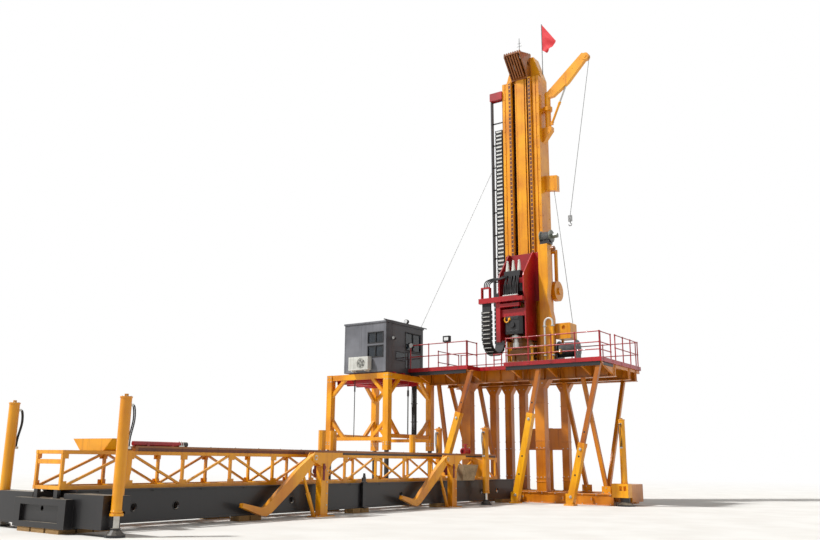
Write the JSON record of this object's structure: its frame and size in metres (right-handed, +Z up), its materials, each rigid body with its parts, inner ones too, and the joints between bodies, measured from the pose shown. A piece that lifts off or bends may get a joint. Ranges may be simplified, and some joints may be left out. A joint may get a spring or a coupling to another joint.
{
  "type": "geothermal drilling rig",
  "caption": "Geothermal drilling rig with a mast and travelling rotary head, a raised drill floor, an operator's cabin on a frame and a lattice pipe trailer on jacks.",
  "frame": {"origin": "bottom centre of the rig's bounding box, on the ground", "axes": "+X from the pipe trailer's nose to the mast, +Y to the cabin's side, +Z up"},
  "size_m": [25.87, 13.941, 24.4],
  "materials": {
    "yellow_paint": "gloss",
    "red_paint": "gloss",
    "dark_steel": "satin",
    "cabin_grey": "satin",
    "white_paint": "satin",
    "glass": "clear",
    "timber": "rough sawn",
    "rubber": "matt",
    "bare_steel": "worn",
    "flag_cloth": "woven"
  },
  "bodies": {
    "rig": {"arm_posts": "yellow_paint", "base_frame": "yellow_paint", "cabin_cooler": "white_paint", "cabin_floor": "cabin_grey", "cabin_floor_beams": "red_paint", "cabin_frame": "yellow_paint", "cabin_glass": "glass", "cabin_roof": "cabin_grey", "cabin_walls": "cabin_grey", "columns": "yellow_paint", "crate": "timber", "drill_floor_deck": "dark_steel", "flag": "flag_cloth", "floor_beams": "yellow_paint", "floor_edge_band": "red_paint", "guard_rails": "red_paint", "hose_tray": "dark_steel", "jack_barrels": "yellow_paint", "jib_post": "yellow_paint", "mast_body": "yellow_paint", "mast_crown": "yellow_paint", "mast_poles": "bare_steel", "mast_stay": "bare_steel", "pipe_handler": "yellow_paint", "pipe_rack": "yellow_paint", "rotary_table": "yellow_paint", "skid_frame": "dark_steel", "standpipe": "white_paint", "struts": "yellow_paint", "support_feet": "dark_steel", "timber_blocks": "timber", "truss_cross_bars": "yellow_paint", "truss_far_side": "yellow_paint", "truss_near_side": "yellow_paint", "v_legs": "yellow_paint", "winch_cover": "yellow_paint", "winches": "dark_steel"},
    "carriage": {"carriage": "red_paint", "top_drive": "dark_steel", "drag_chain": "rubber"},
    "spindle": {"spindle": "bare_steel"},
    "jib": {"jib_boom": "yellow_paint", "jib_rope": "bare_steel"},
    "arm_front": {"loading_arm_front": "yellow_paint"},
    "arm_rear": {"loading_arm_rear": "yellow_paint"}
  },
  "joints": [
    {"name": "carriage_slide", "type": "slide", "parent": "rig", "child": "carriage", "axis": [0, 0, 1], "range_m": [-0.6, 8.5]},
    {"name": "spindle_turn", "type": "hinge", "parent": "carriage", "child": "spindle", "pos_m": [10.295, -1.3995, 7.5], "axis": [0, 0, 1], "continuous": true},
    {"name": "jib_slew", "type": "hinge", "parent": "rig", "child": "jib", "pos_m": [11.795, -2.6995, 19.9], "axis": [0, 0, 1], "range_deg": [-90, 90]},
    {"name": "arm_front_lift", "type": "hinge", "parent": "rig", "child": "arm_front", "pos_m": [-4.385, -1.7995, 1.8], "axis": [0, 1, 0], "range_deg": [0, 35]},
    {"name": "arm_rear_lift", "type": "hinge", "parent": "rig", "child": "arm_rear", "pos_m": [3.395, -1.7995, 1.8], "axis": [0, 1, 0], "range_deg": [0, 35]}
  ]
}
